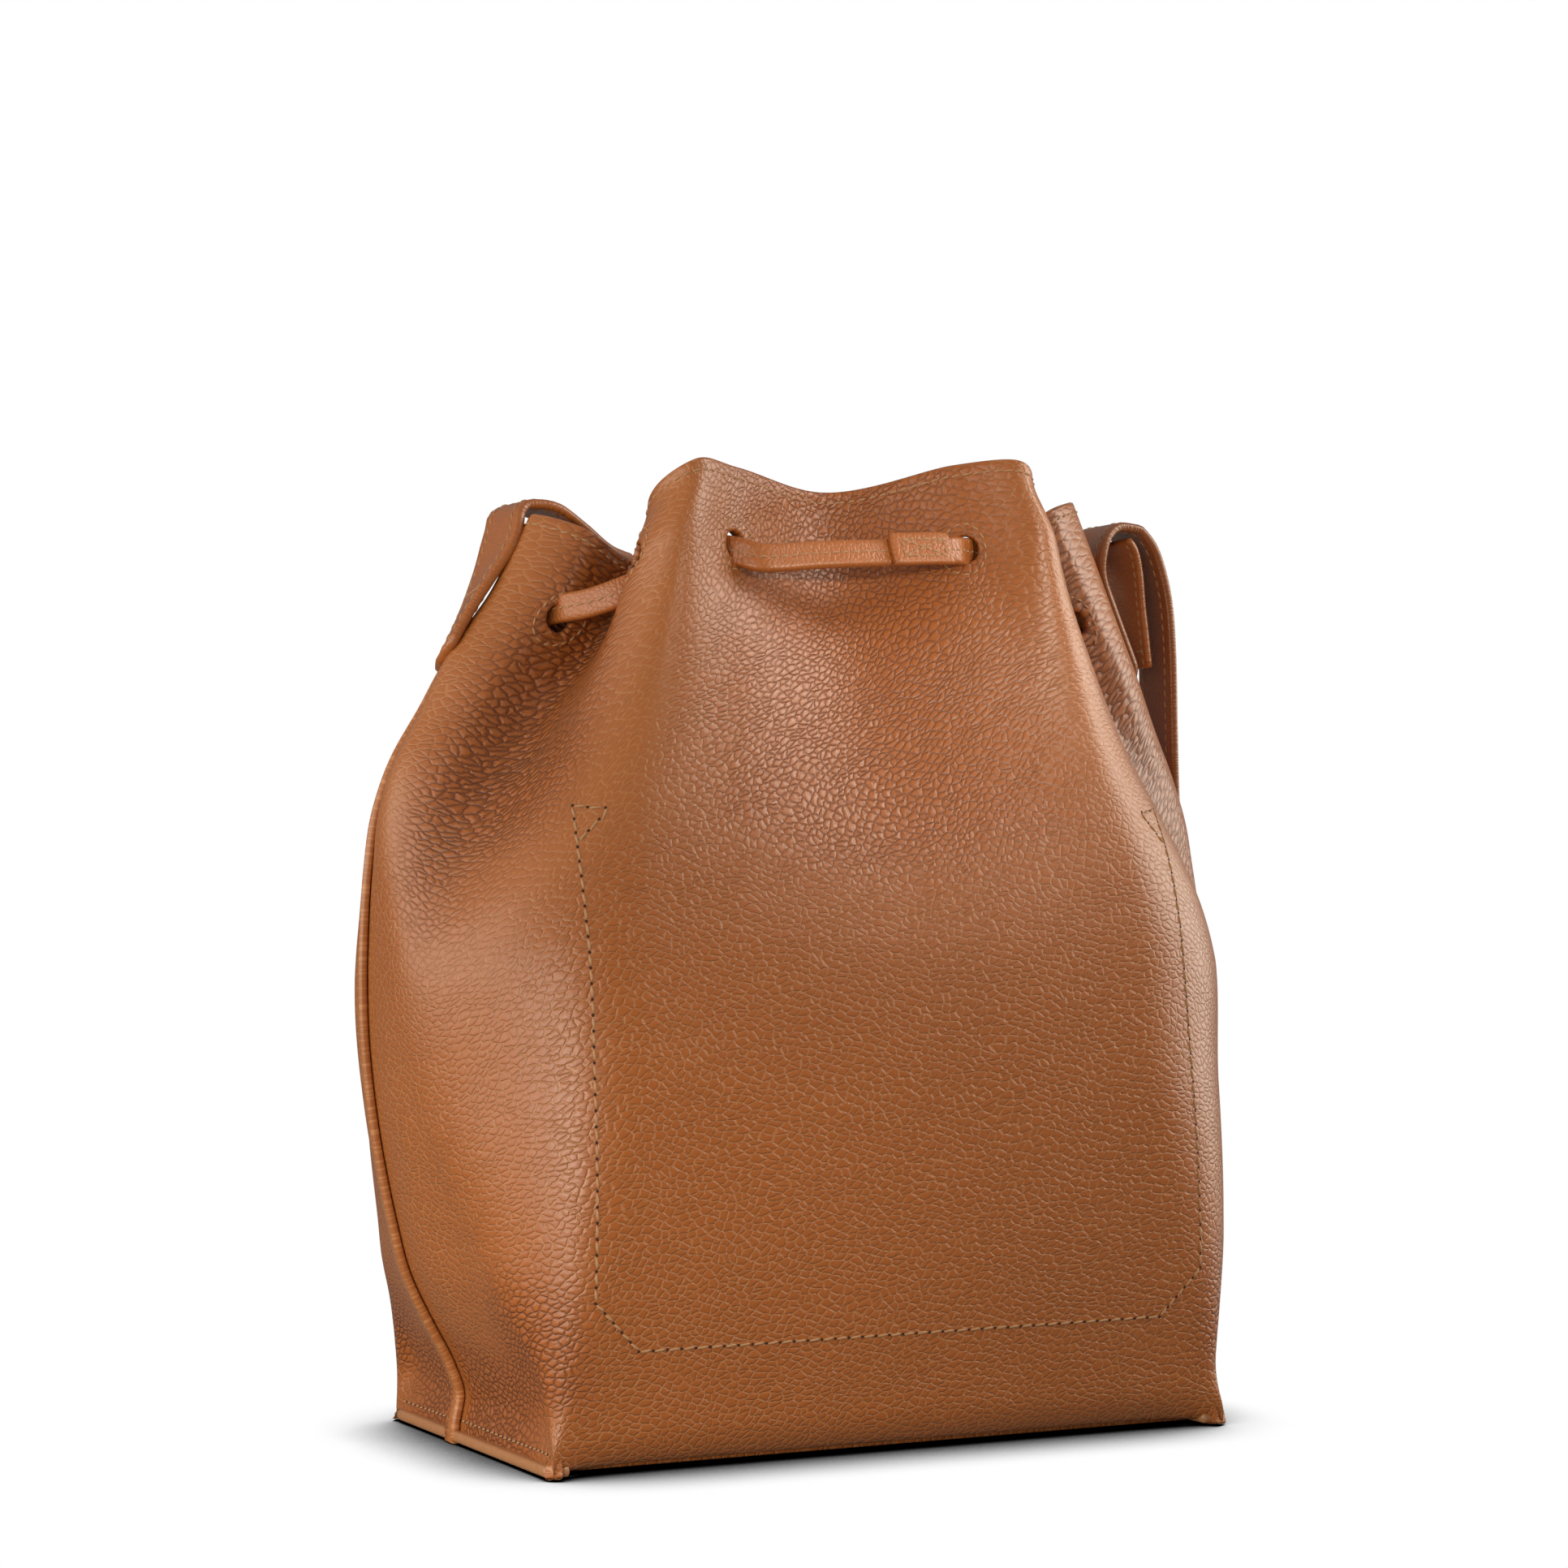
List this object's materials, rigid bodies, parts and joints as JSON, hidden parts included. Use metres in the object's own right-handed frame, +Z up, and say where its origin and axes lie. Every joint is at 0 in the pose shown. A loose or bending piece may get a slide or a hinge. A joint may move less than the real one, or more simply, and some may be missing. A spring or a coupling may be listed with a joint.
{
  "type": "drawstring bucket bag",
  "caption": "Soft leather bucket bag with a boxed base, a mouth gathered by a flat drawstring through side holes, and a shoulder strap sewn to its side seams.",
  "frame": {"origin": "middle of the base, on the surface the bag stands on", "axes": "+Z up; the rear panel with the inner pocket's stitching faces -Y; the strap hangs over the front, +Y; the side seams are at -X and +X"},
  "size_m": [0.2688, 0.1498, 0.2736],
  "materials": {
    "panel_leather": "tumbled pebble grain, soft satin",
    "strap_leather": "fine grain, satin",
    "painted_edge": "smooth edge paint",
    "suede_inside": "napped flesh side"
  },
  "bodies": {
    "bag": {"rear_panel": "panel_leather", "front_panel": "panel_leather", "base_panel": "panel_leather", "base_seam_left": "painted_edge", "base_seam_right": "painted_edge", "inner_pocket": "suede_inside", "hole_patches": "suede_inside", "drawstring": "strap_leather", "strap_end_left": "strap_leather", "strap_end_right": "strap_leather"},
    "strap": {"strap": "strap_leather"},
    "pull": {"drawstring_pull": "strap_leather"},
    "keeper": {"keeper": "strap_leather"}
  },
  "joints": [
    {"name": "strap_swing", "type": "hinge", "parent": "bag", "child": "strap", "pos_m": [0, 0.012, 0.265], "axis": [1, 0, 0], "range_deg": [0, 165]},
    {"name": "pull_lift", "type": "hinge", "parent": "bag", "child": "pull", "pos_m": [0, 0.0395, 0.224], "axis": [1, 0, 0], "range_deg": [0, 95]},
    {"name": "keeper_slide", "type": "slide", "parent": "pull", "child": "keeper", "axis": [0, 0.2785, -0.9604], "range_m": [0, 0.068]}
  ]
}
